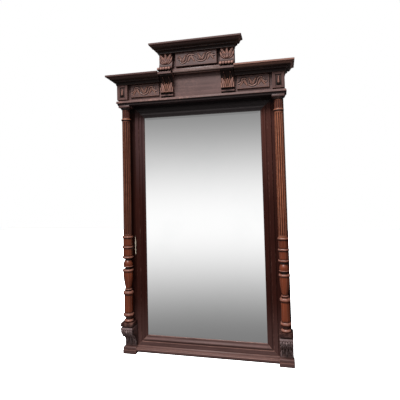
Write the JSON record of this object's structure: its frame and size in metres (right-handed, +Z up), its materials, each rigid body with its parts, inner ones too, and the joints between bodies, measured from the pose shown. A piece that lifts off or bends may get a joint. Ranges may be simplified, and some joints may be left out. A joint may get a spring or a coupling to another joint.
{
  "type": "mirror",
  "caption": "Tall rectangular wall mirror in dark walnut, with turned side columns, carved frieze and consoles, a broken cornice and a raised crest.",
  "frame": {"origin": "on the standing surface, in the middle of the overall width and depth", "axes": "+X to the right seen from the front, +Y back to the wall, +Z up"},
  "size_m": [1.088, 0.173, 1.813],
  "materials": {
    "walnut": "dark walnut stain with a worn satin wax polish",
    "walnut_column": "warmer turned walnut, polished on the rings",
    "carved_walnut": "carved walnut, pale on the worn high places",
    "pine": "aged unfinished softwood",
    "silvered_glass": "bevelled silvered plate glass",
    "iron": "blackened iron"
  },
  "bodies": {
    "root": {"architrave_board": "walnut", "backboard_1": "pine", "backboard_2": "pine", "backboard_3": "pine", "backboard_4": "pine", "backboard_screws": "iron", "base_moulding": "walnut", "bottom_bracket_left": "carved_walnut", "bottom_bracket_right": "carved_walnut", "bottom_rail": "walnut", "carved_panel_left": "carved_walnut", "carved_panel_right": "carved_walnut", "centre_board": "walnut", "column_left": "walnut_column", "column_right": "walnut_column", "console_plate_left": "walnut", "console_plate_right": "walnut", "cornice_front_left": "walnut", "cornice_front_right": "walnut", "cornice_return_left": "walnut", "cornice_return_right": "walnut", "crest_cornice_front": "walnut", "crest_cornice_left": "walnut", "crest_cornice_right": "walnut", "crest_panel": "carved_walnut", "crest_shelf": "walnut", "crest_top_board": "walnut", "dust_board": "walnut", "end_block_left": "walnut", "end_block_right": "walnut", "end_drops": "carved_walnut", "frieze_back_board": "pine", "frieze_board_left": "walnut", "frieze_board_right": "walnut", "frieze_end_left": "walnut", "frieze_end_right": "walnut", "glass_blocks": "pine", "glass_moulding_bottom": "walnut", "glass_moulding_left": "walnut", "glass_moulding_right": "walnut", "glass_moulding_top": "walnut", "hanging_plate_left": "iron", "hanging_plate_right": "iron", "hanging_screws": "iron", "lower_console_left": "carved_walnut", "lower_console_right": "carved_walnut", "mirror_glass": "silvered_glass", "plinth_left": "walnut", "plinth_right": "walnut", "spacer_blocks": "pine", "stile_left": "walnut", "stile_right": "walnut", "string_moulding_front": "walnut", "string_moulding_left": "walnut", "string_moulding_right": "walnut", "top_rail": "walnut", "upper_console_left": "carved_walnut", "upper_console_right": "carved_walnut"}
  },
  "joints": []
}
